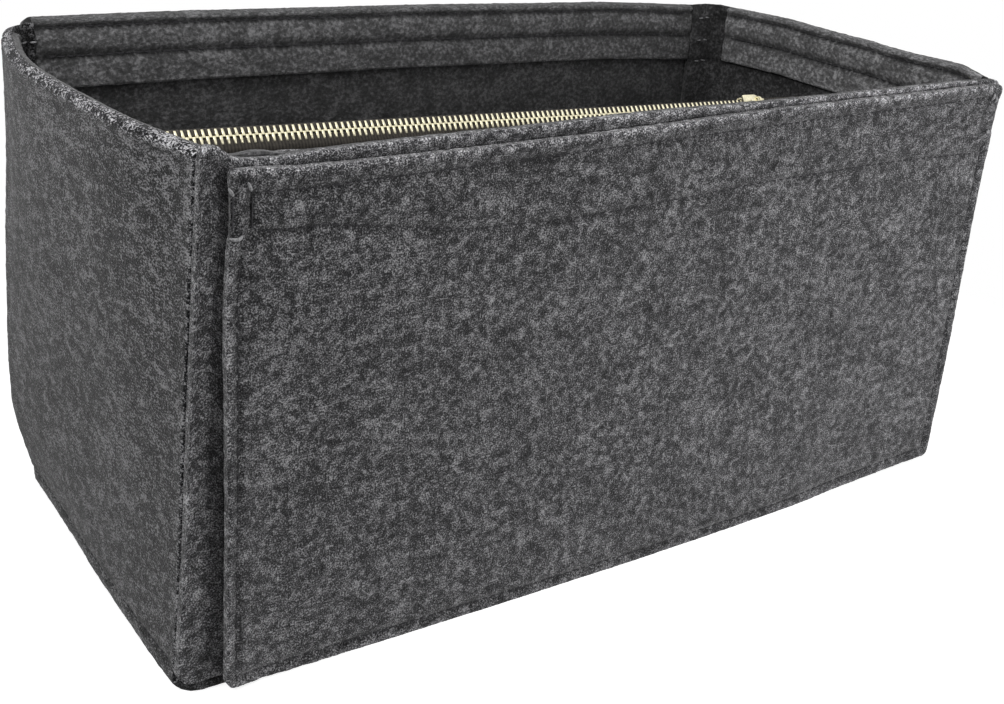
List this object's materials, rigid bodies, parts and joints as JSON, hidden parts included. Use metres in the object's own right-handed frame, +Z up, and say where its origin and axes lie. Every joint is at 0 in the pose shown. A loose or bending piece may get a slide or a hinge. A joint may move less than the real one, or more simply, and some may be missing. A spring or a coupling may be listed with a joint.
{
  "type": "handbag organizer insert",
  "caption": "Open felt box insert for a handbag, with a flat front pocket, stitched bands inside the rim and a narrow pouch closed by a metal zip across the middle.",
  "frame": {"origin": "centre of the bounding box's footprint, on the surface the insert stands on", "axes": "+X along the length, towards the end where the zip closes; the pocket faces -Y; +Z up"},
  "size_m": [0.344, 0.166, 0.1685],
  "materials": {
    "felt": "matte grey melange needled felt",
    "thread": "matte dark grey sewing thread",
    "zip_tape": "matte dark woven tape",
    "zip_metal": "polished brass"
  },
  "bodies": {
    "insert": {"base_panel": "felt", "front_body_panel": "felt", "pocket_panel": "felt", "rear_body_panel": "felt", "left_end_panel": "felt", "right_end_panel": "felt", "front_rim_band": "felt", "rear_rim_band": "felt", "left_rim_band": "felt", "right_rim_band": "felt", "pouch_front_sheet": "felt", "pouch_rear_sheet": "felt", "pouch_bottom_strip": "felt", "pocket_seam_thread": "thread", "pocket_hem_thread_1": "thread", "pocket_hem_thread_2": "thread", "pocket_tack_left": "thread", "pocket_tack_right": "thread", "left_foot_thread": "thread", "right_foot_thread": "thread", "rear_foot_thread": "thread", "front_band_thread_1": "thread", "front_band_thread_2": "thread", "rear_band_thread_1": "thread", "rear_band_thread_2": "thread", "left_band_thread_1": "thread", "left_band_thread_2": "thread", "right_band_thread_1": "thread", "right_band_thread_2": "thread", "left_corner_tack": "thread", "right_corner_tack": "thread", "zip_seam_thread_front": "thread", "zip_seam_thread_rear": "thread", "zip_tape_front": "zip_tape", "zip_tape_rear": "zip_tape", "zip_teeth_front": "zip_metal", "zip_teeth_rear": "zip_metal", "zip_bottom_stop": "zip_metal", "zip_top_stop_front": "zip_metal", "zip_top_stop_rear": "zip_metal"},
    "slider": {"slider_body": "zip_metal"},
    "pull": {"slider_pull": "zip_metal"}
  },
  "joints": [
    {"name": "zip_slide", "type": "slide", "parent": "insert", "child": "slider", "axis": [-0.9994, 0, 0.0349], "range_m": [0, 0.2569]},
    {"name": "pull_swing", "type": "hinge", "parent": "slider", "child": "pull", "pos_m": [0.11603, -0.00594, 0.14031], "axis": [-0.9994, 0, 0.0349], "range_deg": [0, 165]}
  ]
}
